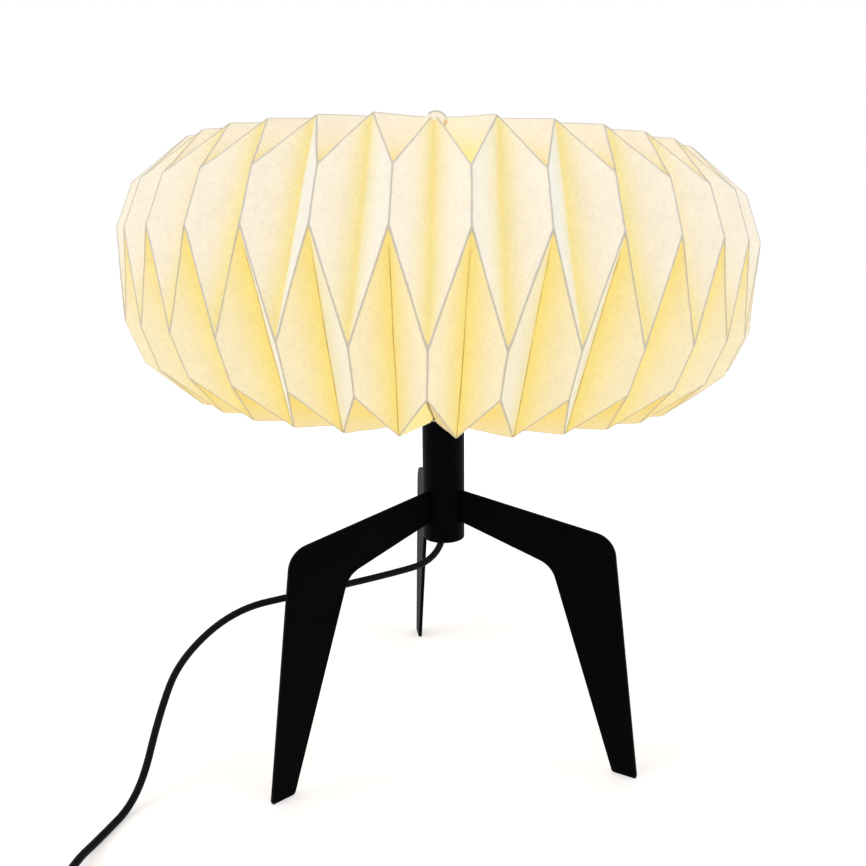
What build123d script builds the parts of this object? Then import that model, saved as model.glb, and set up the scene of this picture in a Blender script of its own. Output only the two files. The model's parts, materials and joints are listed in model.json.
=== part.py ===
"""Table lamp: a pleated paper lantern on a black tube with three cut-plate legs.

Millimetres, +Z up, the tube's axis on the Z axis, the feet on Z = 0, the front on -Y.
Azimuths are counted from the front, positive to the right.
"""
from build123d import *
from math import cos, radians, sin, sqrt, tan
import os

os.makedirs("parts", exist_ok=True)

# ---------------------------------------------------------------- clearances
touch = 0.05              # parts that bear on each other
running = 0.4             # turning paper frame on the lampholder
slot_play = 0.1           # leg tab in its slot, each side

# ---------------------------------------------------------------- tube and legs
tube_radius = 15.0
tube_wall = 1.5
tube_bottom = 151.0
tube_top = 262.0
tube_bore = tube_radius - tube_wall

leg_thickness = 3.0
leg_azimuths = {"left": -50.5, "right": 62.5, "rear": 190.0}
leg_root_top = 187.8      # where the arm leaves the tube
leg_root_bottom = 164.5
knee_out = (125.0, 170.4)     # radius, height of the sharp corners
knee_in = (83.2, 143.9)
foot_out = 148.5
foot_in = 131.5
knee_out_round = 16.0
knee_in_round = 17.0
foot_out_round = 1.5
foot_in_round = 2.5
leg_edge_round = 0.35
tab_depth = 3.0
tab_margin = 3.5          # shoulder above and below the tab

# ---------------------------------------------------------------- cord entry
cord_diameter = 5.0
cord_radius = cord_diameter / 2
gland_end = 160.0         # the cord leaves the gland inside the tube
gland_seat = 190.0
gland_seat_thickness = 4.0
gland_neck = 4.5
gland_flange = 6.5
gland_top = 197.0
cord_inner_top = 271.0

# ---------------------------------------------------------------- lampholder
top_plug_thickness = 6.0
nipple_radius = 5.0
nipple_bore = 3.2
nipple_bottom = 248.0
nipple_top = 270.0
nut_across = 14.0
nut_thickness = 3.2
cap_radius = 17.0
cap_floor = 2.6
cap_wall = 1.6
cap_bottom = tube_top + 0.1
cap_top = 284.0
shell_top = 317.0
shell_bore = 15.3
shell_lip_bore = 15.0
thread_radius = 18.4
thread_pitch = 3.0
flange_bottom = 299.0
flange_top = 301.0
flange_radius = 22.0
core_bottom = 272.0
core_top = 280.0
boss_top = 284.0
screw_shell_radius = 14.0     # middle of the lamp thread
screw_shell_top = 304.0
lamp_pitch = 3.6
ring_bottom = 303.1
ring_top = 309.0
ring_outer = 24.0

# ---------------------------------------------------------------- bulb
bulb_tip_bottom = 284.9
bulb_tip_top = 286.5
bulb_cap_bottom = 291.0
bulb_cap_top = 312.0
bulb_thread_radius = 12.8
housing_top = 343.0
housing_radius = 26.5
housing_wall = 1.6
housing_flare = ((0.08, 0.21), (0.42, 0.48), (0.84, 0.76))     # shares of its width and height
globe_radius = 30.0
globe_centre = 358.0
globe_wall = 1.2

# ---------------------------------------------------------------- paper shade
pleats = 36
pleat_angle = 360.0 / pleats
sheet_names = ("right", "rear", "left")     # equal sheets, glued at the fold next to the front
pleat_phase = -5.67       # azimuth of the fold next to the front
sheet = 0.4
shade_lean = 1.74         # degrees, the right side hangs lower
shade_shift = -3.2        # the lantern's axis at its middle, along X
shade_middle = 345.0

top_ring = 46.0           # gathered edge, radius
top_ridge = 431.0
top_valley = 402.0
crest_top = (160.5, 411.9)    # the six creases of the zigzags: radius, height
crest_shoulder_z = 387.3
waist_top = (199.8, 362.3)
waist_bottom = (199.2, 310.0)
crest_hip_z = 287.1
crest_bottom = (162.8, 262.8)
bottom_ring = 24.5
bottom_valley = 245.0
bottom_ridge = 241.0

# ---------------------------------------------------------------- wire frame
wire = 3.0
hub_radius = 31.0
hub_thickness = 1.8
arm_start = 26.0
arm_azimuths = (45, 135, 225, 315)
arm_corner = 44.0
arm_bend = 9.0
hoop_radius = top_ring + 0.5
thread_diameter = 1.2     # the two drawstrings
top_string = (top_ring + 3.0, (top_ridge + top_valley) / 2 - 1.0)
bottom_string = (bottom_ring + 3.5, (bottom_ridge + bottom_valley) / 2 + 0.5)

# ---------------------------------------------------------------- cord, switch, plug
switch_length = 62.0
switch_width = 26.0
switch_base_height = 8.0
switch_height = 17.0
switch_cord_z = 7.0
switch_centre = (-217.0, -203.0)
rocker_length = 17.0
rocker_width = 11.0
rocker_angle = 12.0       # half the rocker's swing
plug_axis_z = 7.0
pin_radius = 2.0
pin_length = 19.0
pin_spacing = 18.6
sleeve_length = 9.0

coil_inner = 21.4         # centre line of the innermost turn
coil_step = 6.7           # from turn to turn
coil_rise = 6.0           # from layer to layer
coil_layers = 4
coil_centre = (-143.0, -258.6)


def radial(azimuth):
    """Unit vector that points away from the axis at an azimuth."""
    return Vector(sin(radians(azimuth)), -cos(radians(azimuth)), 0)


def upright(azimuth):
    """Plane through the axis: local X runs outward, local Y up."""
    return Plane(origin=(0, 0, 0), x_dir=radial(azimuth), z_dir=radial(azimuth).cross(Vector(0, 0, 1)))


lean = radians(shade_lean)
shade_plane = Plane(
    origin=(shade_shift, 0, shade_middle),
    x_dir=(cos(lean), 0, -sin(lean)),
    z_dir=(sin(lean), 0, cos(lean)),
)


def on_shade(point, azimuth):
    """Place (radius, height) of the leaning lantern at an azimuth."""
    out = radial(azimuth) * point[0]
    return shade_plane.from_local_coords(Vector(out.X, out.Y, point[1] - shade_middle))


def corner_radii(points, share=0.45):
    """Bend radii that leave a straight stretch on every run of a cord."""
    spots = [Vector(*p) for p in points]
    radii = []
    for before, here, after in zip(spots, spots[1:], spots[2:]):
        turn = (here - before).get_angle(after - here)
        shorter = min((here - before).length, (after - here).length)
        radii.append(share * shorter / tan(radians(turn) / 2))
    return radii


def leg_plate(azimuth):
    """One leg, cut from plate, with the tab that goes through the tube wall."""
    start = tube_radius + touch
    with BuildPart() as leg:
        with BuildSketch(upright(azimuth)) as outline:
            with BuildLine():
                Polyline(
                    (start, leg_root_bottom),
                    knee_in,
                    (foot_in, 0),
                    (foot_out, 0),
                    knee_out,
                    (start, leg_root_top),
                    close=True,
                )
            make_face()
            for spot, size in (
                (knee_in, knee_in_round),
                (knee_out, knee_out_round),
                ((foot_in, 0), foot_in_round),
                ((foot_out, 0), foot_out_round),
            ):
                fillet(outline.vertices().sort_by_distance((spot[0], spot[1], 0))[0], size)
        extrude(amount=leg_thickness / 2, both=True)
        side = upright(azimuth).z_dir
        flats = [f for f in leg.faces() if abs(abs(f.normal_at().dot(side)) - 1) < 1e-6]
        chamfer([e for f in flats for e in f.edges()], leg_edge_round)
        with BuildSketch(upright(azimuth)):
            with Locations(((start + tube_radius - tab_depth) / 2 + 0.5, (leg_root_bottom + leg_root_top) / 2)):
                Rectangle(start - tube_radius + tab_depth + 1.0, leg_root_top - leg_root_bottom - 2 * tab_margin)
        extrude(amount=leg_thickness / 2, both=True)
    return leg.part


leg_parts = {}
for leg_name, leg_azimuth in leg_azimuths.items():
    leg_parts[leg_name] = leg_plate(leg_azimuth)
    leg_parts[leg_name].label = "leg_" + leg_name
    export_step(leg_parts[leg_name], "parts/leg_" + leg_name + ".step")

# The tube, open below, slotted for the three tabs.
tab_height = leg_root_top - leg_root_bottom - 2 * tab_margin
with BuildPart() as stem_tube:
    with BuildSketch(Plane.XY.offset(tube_bottom)):
        Circle(tube_radius)
        Circle(tube_bore, mode=Mode.SUBTRACT)
    extrude(amount=tube_top - tube_bottom)
    rims = stem_tube.faces().filter_by(Axis.Z)
    chamfer(rims.edges(), 0.3)
    for azimuth in leg_azimuths.values():
        with BuildSketch(upright(azimuth)):
            with Locations((tube_radius - tube_wall / 2, (leg_root_bottom + leg_root_top) / 2)):
                Rectangle(tube_wall * 3, tab_height + 2 * slot_play)
        extrude(amount=leg_thickness / 2 + slot_play, both=True, mode=Mode.SUBTRACT)
stem_tube.part.label = "stem_tube"
export_step(stem_tube.part, "parts/stem_tube.step")

# ---------------------------------------------------------------- cord entry in the tube
with BuildPart() as gland_seat_disc:
    with BuildSketch(Plane.XY.offset(gland_seat)):
        Circle(tube_bore - touch)
        Circle(gland_neck + touch, mode=Mode.SUBTRACT)
    extrude(amount=gland_seat_thickness)
gland_seat_disc.part.label = "gland_seat"
export_step(gland_seat_disc.part, "parts/gland_seat.step")

with BuildPart() as cord_gland:
    with BuildSketch(Plane.XZ):
        with BuildLine():
            Polyline(
                (0, gland_end),
                (cord_radius + 0.9, gland_end),
                (gland_flange - 0.3, gland_seat - touch),
                (gland_neck, gland_seat - touch),
                (gland_neck, gland_seat + gland_seat_thickness + touch),
                (gland_flange, gland_seat + gland_seat_thickness + touch),
                (gland_flange, gland_top),
                (0, gland_top),
                close=True,
            )
        make_face()
    revolve(axis=Axis.Z)
cord_gland.part.label = "cord_gland"
export_step(cord_gland.part, "parts/cord_gland.step")

with BuildPart() as cord_in_tube:
    with BuildSketch(Plane.XY.offset(gland_top)):
        Circle(cord_radius)
    extrude(amount=cord_inner_top - gland_top)
cord_in_tube.part.label = "cord_in_tube"
export_step(cord_in_tube.part, "parts/cord_in_tube.step")

# ---------------------------------------------------------------- lampholder
with BuildPart() as tube_top_plug:
    with BuildSketch(Plane.XY.offset(tube_top - top_plug_thickness)):
        Circle(tube_bore - touch)
        Circle(nipple_radius + touch, mode=Mode.SUBTRACT)
    extrude(amount=top_plug_thickness)
tube_top_plug.part.label = "tube_top_plug"
export_step(tube_top_plug.part, "parts/tube_top_plug.step")

with BuildPart() as threaded_nipple:
    with BuildSketch(Plane.XY.offset(nipple_bottom)):
        Circle(nipple_radius)
        Circle(nipple_bore, mode=Mode.SUBTRACT)
    extrude(amount=nipple_top - nipple_bottom)
    chamfer(threaded_nipple.faces().filter_by(Axis.Z).edges(), 0.4)
threaded_nipple.part.label = "threaded_nipple"
export_step(threaded_nipple.part, "parts/threaded_nipple.step")

nut_heights = (
    tube_top - top_plug_thickness - nut_thickness - touch,
    cap_bottom + cap_floor + touch,
)
with BuildPart() as nipple_nuts:
    for height in nut_heights:
        with BuildSketch(Plane.XY.offset(height)):
            RegularPolygon(nut_across / 2, 6, major_radius=False)
            Circle(nipple_radius + touch, mode=Mode.SUBTRACT)
        extrude(amount=nut_thickness)
nipple_nuts.part.label = "nipple_nuts"
export_step(nipple_nuts.part, "parts/nipple_nuts.step")

with BuildPart() as lampholder_cap:
    with BuildSketch(Plane.XZ):
        with BuildLine():
            Polyline(
                (nipple_radius + touch, cap_bottom),
                (cap_radius - 3, cap_bottom),
                (cap_radius, cap_bottom + 5),
                (cap_radius, cap_top),
                (cap_radius - cap_wall, cap_top),
                (cap_radius - cap_wall, cap_bottom + 5.6),
                (cap_radius - 4, cap_bottom + cap_floor),
                (nipple_radius + touch, cap_bottom + cap_floor),
                close=True,
            )
        make_face()
    revolve(axis=Axis.Z)
lampholder_cap.part.label = "lampholder_cap"
export_step(lampholder_cap.part, "parts/lampholder_cap.step")

# The shell: a flange carries the wire frame, the thread above takes the ring.
thread_turns = int((shell_top - 5 - flange_top) / thread_pitch)
thread_profile = []
for turn in range(thread_turns):
    foot = flange_top + 1.0 + turn * thread_pitch
    thread_profile.append((thread_radius - 0.7, foot))
    thread_profile.append((thread_radius, foot + thread_pitch * 0.4))
    thread_profile.append((thread_radius, foot + thread_pitch * 0.6))
with BuildPart() as lampholder_shell:
    with BuildSketch(Plane.XZ):
        with BuildLine():
            Polyline(
                (shell_bore, cap_top + touch),
                (cap_radius, cap_top + touch),
                (cap_radius, flange_bottom),
                (flange_radius, flange_bottom + 0.5),
                (flange_radius, flange_top),
                (thread_radius - 0.7, flange_top),
                *thread_profile,
                (thread_radius - 0.7, flange_top + 1.0 + thread_turns * thread_pitch),
                (thread_radius - 0.7, shell_top - 1),
                (thread_radius - 1.7, shell_top),
                (shell_lip_bore, shell_top),
                (shell_lip_bore, shell_top - 2),
                (shell_bore, shell_top - 4),
                close=True,
            )
        make_face()
    revolve(axis=Axis.Z)
lampholder_shell.part.label = "lampholder_shell"
export_step(lampholder_shell.part, "parts/lampholder_shell.step")

with BuildPart() as lampholder_core:
    with BuildSketch(Plane.XY.offset(core_bottom)):
        Circle(cap_radius - cap_wall - 0.1)
    extrude(amount=core_top - core_bottom)
    with BuildSketch(Plane.XY.offset(core_top)):
        Circle(6)
    extrude(amount=boss_top - core_top)
    with BuildSketch(Plane.XY.offset(core_bottom)):
        with Locations((-8, 0), (8, 0)):
            Circle(2.1)
    extrude(amount=5, mode=Mode.SUBTRACT)
lampholder_core.part.label = "lampholder_core"
export_step(lampholder_core.part, "parts/lampholder_core.step")

with BuildPart() as terminal_screws:
    for across in (-8, 8):
        with BuildSketch(Plane.XY.offset(core_bottom - touch)):
            with Locations((across, 0)):
                Circle(3.2)
        extrude(amount=-2.0)
        with BuildSketch(Plane.XY.offset(core_bottom - touch)):
            with Locations((across, 0)):
                Circle(2.0)
        extrude(amount=4.5)
    with BuildSketch(Plane.XY.offset(core_bottom - touch - 2.0)):
        with Locations((-8, 0), (8, 0)):
            Rectangle(5.2, 0.8)
    extrude(amount=0.9, mode=Mode.SUBTRACT)
terminal_screws.part.label = "terminal_screws"
export_step(terminal_screws.part, "parts/terminal_screws.step")


def wave(radius, start, end, pitch, depth):
    """Points of a rounded lamp thread from one height to another."""
    steps = int((end - start) / pitch)
    points = []
    for turn in range(steps):
        foot = start + turn * pitch
        points.append((radius - depth, foot))
        points.append((radius, foot + pitch * 0.3))
        points.append((radius, foot + pitch * 0.7))
    points.append((radius - depth, start + steps * pitch))
    return points


shell_inside = wave(screw_shell_radius, core_top + 2, screw_shell_top - 1.5, lamp_pitch, 0.5)
shell_wall = 0.5
with BuildPart() as lamp_screw_shell:
    with BuildSketch(Plane.XZ):
        with BuildLine():
            Polyline(
                (6.5, core_top + touch),
                (screw_shell_radius + shell_wall, core_top + touch),
                *[(r + shell_wall, z) for r, z in shell_inside],
                (screw_shell_radius + shell_wall, screw_shell_top),
                (screw_shell_radius, screw_shell_top),
                *reversed(shell_inside),
                (screw_shell_radius, core_top + touch + shell_wall),
                (6.5, core_top + touch + shell_wall),
                close=True,
            )
        make_face()
    revolve(axis=Axis.Z)
lamp_screw_shell.part.label = "lamp_screw_shell"
export_step(lamp_screw_shell.part, "parts/lamp_screw_shell.step")

with BuildPart() as centre_contact:
    with BuildSketch(Plane.XY.offset(boss_top + touch)):
        SlotOverall(11, 4.5)
    extrude(amount=0.5)
centre_contact.part.label = "centre_contact"
export_step(centre_contact.part, "parts/centre_contact.step")

with BuildPart() as shade_ring:
    with BuildSketch(Plane.XY.offset(ring_bottom)):
        Circle(ring_outer)
        Circle(thread_radius + 0.1, mode=Mode.SUBTRACT)
        with PolarLocations(ring_outer, 18):
            Circle(0.9, mode=Mode.SUBTRACT)
    extrude(amount=ring_top - ring_bottom)
shade_ring.part.label = "shade_ring"
export_step(shade_ring.part, "parts/shade_ring.step")

# ---------------------------------------------------------------- bulb
with BuildPart() as bulb_tip:
    with BuildSketch(Plane.XY.offset(bulb_tip_bottom)):
        Circle(4.5)
    extrude(amount=bulb_tip_top - bulb_tip_bottom)
    fillet(bulb_tip.faces().sort_by(Axis.Z)[0].edges(), 0.9)
bulb_tip.part.label = "bulb_tip"
export_step(bulb_tip.part, "parts/bulb_tip.step")

with BuildPart() as bulb_insulator:
    with BuildSketch(Plane.XZ):
        with BuildLine():
            Polyline(
                (0, bulb_tip_top + touch),
                (5.2, bulb_tip_top + touch),
                (11.2, bulb_cap_bottom - touch),
                (0, bulb_cap_bottom - touch),
                close=True,
            )
        make_face()
    revolve(axis=Axis.Z)
bulb_insulator.part.label = "bulb_insulator"
export_step(bulb_insulator.part, "parts/bulb_insulator.step")

cap_outside = wave(bulb_thread_radius, bulb_cap_bottom + 1, bulb_cap_top - 4, lamp_pitch, 0.6)
with BuildPart() as bulb_cap:
    with BuildSketch(Plane.XZ):
        with BuildLine():
            Polyline(
                (bulb_thread_radius - 1.6, bulb_cap_bottom),
                *cap_outside,
                (bulb_thread_radius, bulb_cap_top),
                (bulb_thread_radius - 0.5, bulb_cap_top),
                *[(r - 0.5, z) for r, z in reversed(cap_outside)],
                (bulb_thread_radius - 2.1, bulb_cap_bottom),
                close=True,
            )
        make_face()
    revolve(axis=Axis.Z)
bulb_cap.part.label = "bulb_cap"
export_step(bulb_cap.part, "parts/bulb_cap.step")

with BuildPart() as bulb_housing:
    with BuildSketch(Plane.XZ):
        with BuildLine():
            lower = (bulb_thread_radius + housing_wall / 2, bulb_cap_top + touch)
            upper = (housing_radius, housing_top)
            flare = [
                (
                    lower[0] + out * (upper[0] - lower[0]),
                    lower[1] + up * (upper[1] - lower[1]),
                )
                for out, up in housing_flare
            ]
            lining = [(r - housing_wall, z) for r, z in flare]
            foot = (lower[0] - housing_wall, lower[1])
            rim = (upper[0] - housing_wall, upper[1])
            Spline(lower, *flare, upper, tangents=((0.1, 1), (0.25, 1)))
            Line(upper, rim)
            Spline(rim, *reversed(lining), foot)
            Line(foot, lower)
        make_face()
    revolve(axis=Axis.Z)
bulb_housing.part.label = "bulb_housing"
export_step(bulb_housing.part, "parts/bulb_housing.step")

globe_foot = housing_top + touch - globe_centre
globe_bore = globe_radius - globe_wall
with BuildPart() as bulb_globe:
    with BuildSketch(Plane.XZ):
        with BuildLine():
            outer_foot = (sqrt(globe_radius**2 - globe_foot**2), globe_centre + globe_foot)
            inner_foot = (sqrt(globe_bore**2 - globe_foot**2), globe_centre + globe_foot)
            ThreePointArc(outer_foot, (globe_radius, globe_centre), (0, globe_centre + globe_radius))
            Line((0, globe_centre + globe_radius), (0, globe_centre + globe_bore))
            ThreePointArc((0, globe_centre + globe_bore), (globe_bore, globe_centre), inner_foot)
            Line(inner_foot, outer_foot)
        make_face()
    revolve(axis=Axis.Z)
bulb_globe.part.label = "bulb_globe"
export_step(bulb_globe.part, "parts/bulb_globe.step")

board_bottom = housing_top + 0.3
with BuildPart() as led_board:
    with BuildSketch(Plane.XY.offset(board_bottom)):
        Circle(22.5)
    extrude(amount=1.5)
led_board.part.label = "led_board"
export_step(led_board.part, "parts/led_board.step")

with BuildPart() as led_chips:
    with BuildSketch(Plane.XY.offset(board_bottom + 1.5 + touch)):
        with PolarLocations(15, 10):
            Rectangle(3.5, 2.8)
    extrude(amount=0.8)
led_chips.part.label = "led_chips"
export_step(led_chips.part, "parts/led_chips.step")

# ---------------------------------------------------------------- the folded paper
# Three sheets of 12 pleats. Each pleat has a fold A and, half a pleat on, a fold B. Between
# them lie two flat kites and, above and below, a fringe that is gathered on a drawstring.
# The two folds beside a flat kite meet on the lantern's axis.
upper_apex = crest_top[1] + crest_top[0] * (crest_top[1] - waist_bottom[1]) / (waist_bottom[0] - crest_top[0])
shoulder = (
    waist_top[0] * (upper_apex - crest_shoulder_z) / (upper_apex - waist_top[1]),
    crest_shoulder_z,
)
lower_apex = crest_bottom[1] - crest_bottom[0] * (waist_top[1] - crest_bottom[1]) / (waist_top[0] - crest_bottom[0])
hip = (
    waist_bottom[0] * (crest_hip_z - lower_apex) / (waist_bottom[1] - lower_apex),
    crest_hip_z,
)
fold_a = [(top_ring, top_valley), shoulder, waist_top, crest_bottom, (bottom_ring, bottom_ridge)]
fold_b = [(top_ring, top_ridge), crest_top, waist_bottom, hip, (bottom_ring, bottom_valley)]

half = radians(pleat_angle / 2)
half_a = [Vector(r, 0, z) for r, z in fold_a]
half_b = [Vector(r * cos(half), r * sin(half), z) for r, z in fold_b]


def facing(a, b, c):
    """Unit normal of a facet, its corners counter-clockwise from outside."""
    return (b - a).cross(c - a).normalized()


facet_upper = facing(half_b[2], half_b[1], half_a[1])
facet_lower = facing(half_b[3], half_b[2], half_a[2])
facet_top_ridge = facing(half_b[1], half_b[0], half_a[1])
facet_top_valley = facing(half_b[0], half_a[0], half_a[1])
facet_bottom_ridge = facing(half_b[3], half_a[3], half_a[4])
facet_bottom_valley = facing(half_b[4], half_b[3], half_a[4])
facet_top = (facet_top_ridge + facet_top_valley).normalized()
facet_bottom = (facet_bottom_ridge + facet_bottom_valley).normalized()


def inward(point, turned, first, first_gap, second, second_gap):
    """Move (radius, height) within its fold's plane until it lies off two directions."""
    out = Vector(cos(turned), sin(turned), 0)
    a, b = first.dot(out), first.Z
    c, d = second.dot(out), second.Z
    det = a * d - b * c
    return (
        point[0] + (first_gap * d - b * second_gap) / det,
        point[1] + (a * second_gap - c * first_gap) / det,
    )


def along(points, start, end):
    """Direction of the fold between two of its creases."""
    return (points[end] - points[start]).normalized()


lining_a = [
    inward(fold_a[0], 0, facet_top_valley, -sheet, along(half_a, 1, 0), 0),
    inward(fold_a[1], 0, facet_upper, -sheet, facet_top, -sheet),
    inward(fold_a[2], 0, facet_upper, -sheet, facet_lower, -sheet),
    inward(fold_a[3], 0, facet_lower, -sheet, facet_bottom_ridge, -sheet),
    inward(fold_a[4], 0, facet_bottom, -sheet, along(half_a, 3, 4), 0),
]
lining_b = [
    inward(fold_b[0], half, facet_top, -sheet, along(half_b, 1, 0), 0),
    inward(fold_b[1], half, facet_upper, -sheet, facet_top_ridge, -sheet),
    inward(fold_b[2], half, facet_upper, -sheet, facet_lower, -sheet),
    inward(fold_b[3], half, facet_lower, -sheet, facet_bottom, -sheet),
    inward(fold_b[4], half, facet_bottom_valley, -sheet, along(half_b, 3, 4), 0),
]


def facets(a, b):
    """Outlines of the flat pieces between a fold A and a fold B."""
    return [
        [b[1], b[0], a[1]],
        [b[0], a[0], a[1]],
        [b[2], b[1], a[1], a[2]],
        [b[3], b[2], a[2], a[3]],
        [b[3], a[3], a[4]],
        [b[4], b[3], a[4]],
    ]


def flat(corners):
    """A flat face from its corners."""
    return Face(Wire.make_polygon(corners, close=True))


def paper_sheet(first, count):
    """Closed sheet of pleats, from the fold B ahead of pleat number first."""
    faces = []
    for pleat in range(first, first + count):
        azimuth_a = pleat_phase + pleat * pleat_angle
        outer_a = [on_shade(p, azimuth_a) for p in fold_a]
        inner_a = [on_shade(p, azimuth_a) for p in lining_a]
        for azimuth_b in (azimuth_a - pleat_angle / 2, azimuth_a + pleat_angle / 2):
            outer_b = [on_shade(p, azimuth_b) for p in fold_b]
            inner_b = [on_shade(p, azimuth_b) for p in lining_b]
            for outline in facets(outer_a, outer_b) + facets(inner_a, inner_b):
                faces.append(flat(outline))
            for end in (0, 4):
                faces.append(flat([outer_a[end], outer_b[end], inner_b[end]]))
                faces.append(flat([outer_a[end], inner_b[end], inner_a[end]]))
    for edge in (first, first + count):
        azimuth_b = pleat_phase + (edge - 0.5) * pleat_angle
        outer_b = [on_shade(p, azimuth_b) for p in fold_b]
        inner_b = [on_shade(p, azimuth_b) for p in lining_b]
        for lower in range(4):
            faces.append(flat([outer_b[lower], outer_b[lower + 1], inner_b[lower + 1]]))
            faces.append(flat([outer_b[lower], inner_b[lower + 1], inner_b[lower]]))
    with BuildPart() as paper:
        add(Solid(Shell(faces)))
    return paper.part


pleats_each = pleats // len(sheet_names)
for number, name in enumerate(sheet_names):
    paper = paper_sheet(1 + number * pleats_each, pleats_each)
    paper.label = "paper_sheet_" + name
    export_step(paper, "parts/paper_sheet_" + name + ".step")
    print(paper.label, "volume", round(paper.volume), "valid", paper.is_valid)


def string_ring(ring):
    """Drawstring through the pleats, closed with a knot."""
    with BuildPart() as string:
        with BuildSketch(Plane.XZ):
            with Locations(ring):
                Circle(thread_diameter / 2)
        revolve(axis=Axis.Z)
        with Locations((0, ring[0] - 1.0, ring[1])):
            Sphere(1.7)
    return shade_plane.location * Location((0, 0, -shade_middle)) * string.part


top_drawstring = string_ring(top_string)
top_drawstring.label = "top_drawstring"
export_step(top_drawstring, "parts/top_drawstring.step")
bottom_drawstring = string_ring(bottom_string)
bottom_drawstring.label = "bottom_drawstring"
export_step(bottom_drawstring, "parts/bottom_drawstring.step")

# ---------------------------------------------------------------- wire frame of the shade
hub_bottom = flange_top + 0.1
hub_top = hub_bottom + hub_thickness
with BuildPart() as frame_hub:
    with BuildSketch(Plane.XY.offset(hub_bottom)):
        Circle(hub_radius)
        Circle(thread_radius + running, mode=Mode.SUBTRACT)
    extrude(amount=hub_thickness)
    chamfer(frame_hub.faces().sort_by(Axis.Z)[-1].edges(), 0.3)
frame_hub.part.label = "frame_hub"
export_step(frame_hub.part, "parts/frame_hub.step")



def under_fringe(fold):
    """Height of the hoop's wire under one fold of the top fringe."""
    (ring, edge), (reach, corner) = fold[:2]
    slope = (corner - edge) / (reach - ring)
    room = (wire / 2 + 3 * touch) * sqrt(1 + slope**2)
    return edge + slope * (hoop_radius - ring) - room


hoop_height = min(under_fringe(lining_a), under_fringe(lining_b))
with BuildPart() as hoop_level:
    with BuildSketch(Plane.XZ):
        with Locations((hoop_radius, hoop_height)):
            Circle(wire / 2)
    revolve(axis=Axis.Z)
frame_hoop = shade_plane.location * Location((0, 0, -shade_middle)) * hoop_level.part
frame_hoop.label = "frame_hoop"
export_step(frame_hoop, "parts/frame_hoop.step")

arm_z = hub_top + wire / 2 + touch
with BuildPart() as frame_arms:
    for azimuth in arm_azimuths:
        inner = radial(azimuth) * arm_start + Vector(0, 0, arm_z)
        corner = radial(azimuth) * arm_corner + Vector(0, 0, arm_z)
        end = on_shade((hoop_radius, hoop_height - wire / 2 - touch), azimuth)
        with BuildLine() as arm_path:
            FilletPolyline(inner, corner, end, radius=arm_bend)
        with BuildSketch(Plane(origin=inner, z_dir=radial(azimuth))):
            Circle(wire / 2)
        sweep(path=arm_path.line)
frame_arms.part.label = "frame_arms"
export_step(frame_arms.part, "parts/frame_arms.step")

# ---------------------------------------------------------------- cord
switch_front = switch_centre[1] + switch_length / 2
switch_back = switch_centre[1] - switch_length / 2
cord_points = [
    (0, 0, gland_end),
    (0, 0, 133),
    (-49, -8, 122),
    (-103, -26, 117),
    (-146, -41, 113),
    (-181, -56, 84),
    (-193, -69, 52),
    (-203, -92, cord_radius),
    (-214, -130, cord_radius),
    (switch_centre[0], -151, switch_cord_z),
    (switch_centre[0], switch_front, switch_cord_z),
]
coil_start = (coil_centre[0], coil_centre[1] - coil_inner - 1.5 * coil_step, cord_radius)
tail_points = [
    (switch_centre[0], switch_back, switch_cord_z),
    (switch_centre[0], switch_back - 16, switch_cord_z),
    (switch_centre[0], coil_start[1], cord_radius),
    (coil_start[0] - cord_diameter, coil_start[1], cord_radius),
]


def cord_tube(points):
    """Round cord along straight runs with filleted corners."""
    start = Vector(*points[0])
    with BuildPart() as tube:
        with BuildLine() as path:
            FilletPolyline(*points, radius=corner_radii(points))
        with BuildSketch(Plane(origin=start, z_dir=Vector(*points[1]) - start)):
            Circle(cord_radius)
        sweep(path=path.line)
    length = path.wires()[0].length
    print("cord length", round(length, 1), "least bend", round(min(corner_radii(points)), 1))
    return tube.part


cord_free = cord_tube(cord_points)
cord_free.label = "cord_free"
export_step(cord_free, "parts/cord_free.step")
cord_tail = cord_tube(tail_points)
cord_tail.label = "cord_tail"
export_step(cord_tail, "parts/cord_tail.step")

# The coil of spare cord: half turns, in and out by layers, each layer on the last.
coil_spots = []
coil_heights = []
side = -1
reach = coil_inner + 1.5 * coil_step
for layer in range(coil_layers):
    height = cord_radius + layer * coil_rise
    inwards = layer % 2 == 0
    turns = 3 if layer < coil_layers - 1 else 2
    for step in range(turns + 1):
        coil_spots.append(side * reach)
        coil_heights.append(height)
        if step < turns:
            reach += -coil_step / 2 if inwards else coil_step / 2
        side = -side
coil_end = (coil_centre[0], coil_centre[1] + coil_spots[-1], coil_heights[-1])
with BuildPart() as cord_coil:
    with BuildLine() as coil_path:
        lead = Line((coil_start[0] - cord_diameter, coil_start[1], coil_start[2]), coil_start)
        here = Vector(*coil_start)
        heading = Vector(1, 0, 0)
        for step in range(1, len(coil_spots)):
            goal = Vector(coil_centre[0], coil_centre[1] + coil_spots[step], coil_heights[step])
            swing = (goal.Y - here.Y) / 2
            rise = goal.Z - here.Z
            out = sqrt(swing**2 + rise**2 / 4)
            middle = Vector(here.X + heading.X * out, (here.Y + goal.Y) / 2, (here.Z + goal.Z) / 2)
            quarter = TangentArc(here, middle, tangent=heading)
            TangentArc(middle, goal, tangent=quarter % 1)
            here = goal
            heading = heading * -1
        Line(here, here + heading * cord_diameter)
    with BuildSketch(Plane(origin=lead @ 0, z_dir=(1, 0, 0))):
        Circle(cord_radius)
    sweep(path=coil_path.line)
coil_exit = here + heading * cord_diameter
cord_coil.part.label = "cord_coil"
export_step(cord_coil.part, "parts/cord_coil.step")
coil_wire = coil_path.wires()[0]
print("coil length", round(coil_wire.length, 1), "turns", (len(coil_spots) - 1) / 2)
samples = [coil_wire.position_at(i / 3000) for i in range(3001)]
spacing = coil_wire.length / 3000
skip = int(3 * cord_diameter / spacing)
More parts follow.
